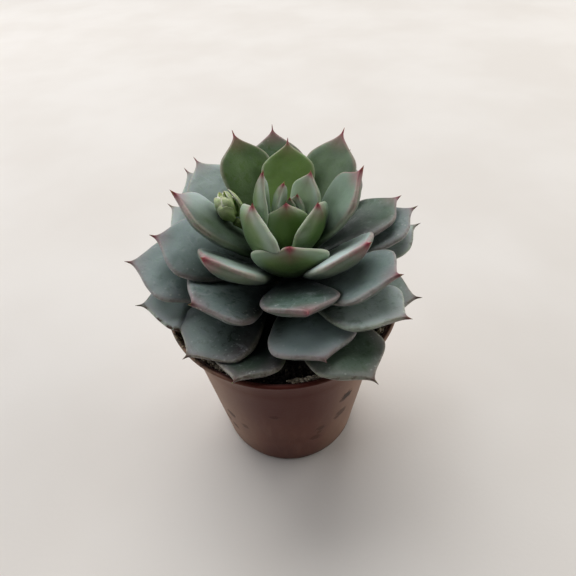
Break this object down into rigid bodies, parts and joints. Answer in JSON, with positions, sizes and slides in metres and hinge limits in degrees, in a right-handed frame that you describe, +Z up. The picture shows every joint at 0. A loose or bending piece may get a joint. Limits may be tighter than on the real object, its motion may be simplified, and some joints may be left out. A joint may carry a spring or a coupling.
{
  "type": "potted succulent",
  "caption": "Rosette succulent with thick pointed grey-green leaves and a young flower bud, growing in soil in a small round nursery pot with a flared rim.",
  "frame": {"origin": "centre of the pot's flat underside", "axes": "+Z up, -Y towards the front of the plant, +X to its right"},
  "size_m": [0.0701, 0.0647, 0.0828],
  "materials": {
    "pot": "matte, dusty",
    "soil": "coarse, dry",
    "stem": "rough",
    "inner_leaves": "satin with a waxy bloom",
    "middle_leaves": "satin with a waxy bloom",
    "outer_leaves": "satin with a waxy bloom",
    "lower_leaves": "satin, worn bloom",
    "bud": "matte",
    "root_fibre": "dry, fibrous"
  },
  "bodies": {
    "root": {"pot": "pot", "potting_soil": "soil", "stem": "stem", "heart_leaf_1": "inner_leaves", "heart_leaf_2": "inner_leaves", "heart_leaf_3": "inner_leaves", "heart_leaf_4": "inner_leaves", "heart_leaf_5": "inner_leaves", "inner_leaf_1": "inner_leaves", "inner_leaf_2": "inner_leaves", "inner_leaf_3": "inner_leaves", "inner_leaf_4": "inner_leaves", "inner_leaf_5": "inner_leaves", "middle_leaf_1": "middle_leaves", "middle_leaf_2": "middle_leaves", "middle_leaf_3": "middle_leaves", "middle_leaf_4": "middle_leaves", "middle_leaf_5": "middle_leaves", "middle_leaf_6": "middle_leaves", "broad_leaf_1": "outer_leaves", "broad_leaf_2": "outer_leaves", "broad_leaf_3": "outer_leaves", "broad_leaf_4": "outer_leaves", "broad_leaf_5": "outer_leaves", "broad_leaf_6": "outer_leaves", "broad_leaf_7": "outer_leaves", "broad_leaf_8": "outer_leaves", "outer_leaf_1": "outer_leaves", "outer_leaf_2": "outer_leaves", "outer_leaf_3": "outer_leaves", "outer_leaf_4": "outer_leaves", "outer_leaf_5": "outer_leaves", "outer_leaf_6": "outer_leaves", "outer_leaf_7": "outer_leaves", "outer_leaf_8": "outer_leaves", "outer_leaf_9": "outer_leaves", "lower_leaf_1": "lower_leaves", "lower_leaf_2": "lower_leaves", "lower_leaf_3": "lower_leaves", "lower_leaf_4": "lower_leaves", "lower_leaf_5": "lower_leaves", "lower_leaf_6": "lower_leaves", "lower_leaf_7": "lower_leaves", "lower_leaf_8": "lower_leaves", "lower_leaf_9": "lower_leaves", "lower_leaf_10": "lower_leaves", "bud_stalk": "stem", "flower_bud": "bud", "bud_scale_1": "bud", "bud_scale_2": "bud", "bud_scale_3": "bud", "bud_scale_4": "bud", "bud_scale_5": "bud", "bud_scale_6": "bud", "bud_scale_7": "bud", "bud_scale_8": "bud", "bud_bract": "bud", "root_fibre_front": "root_fibre", "root_fibre_left": "root_fibre", "root_fibre_right": "root_fibre"}
  },
  "joints": []
}
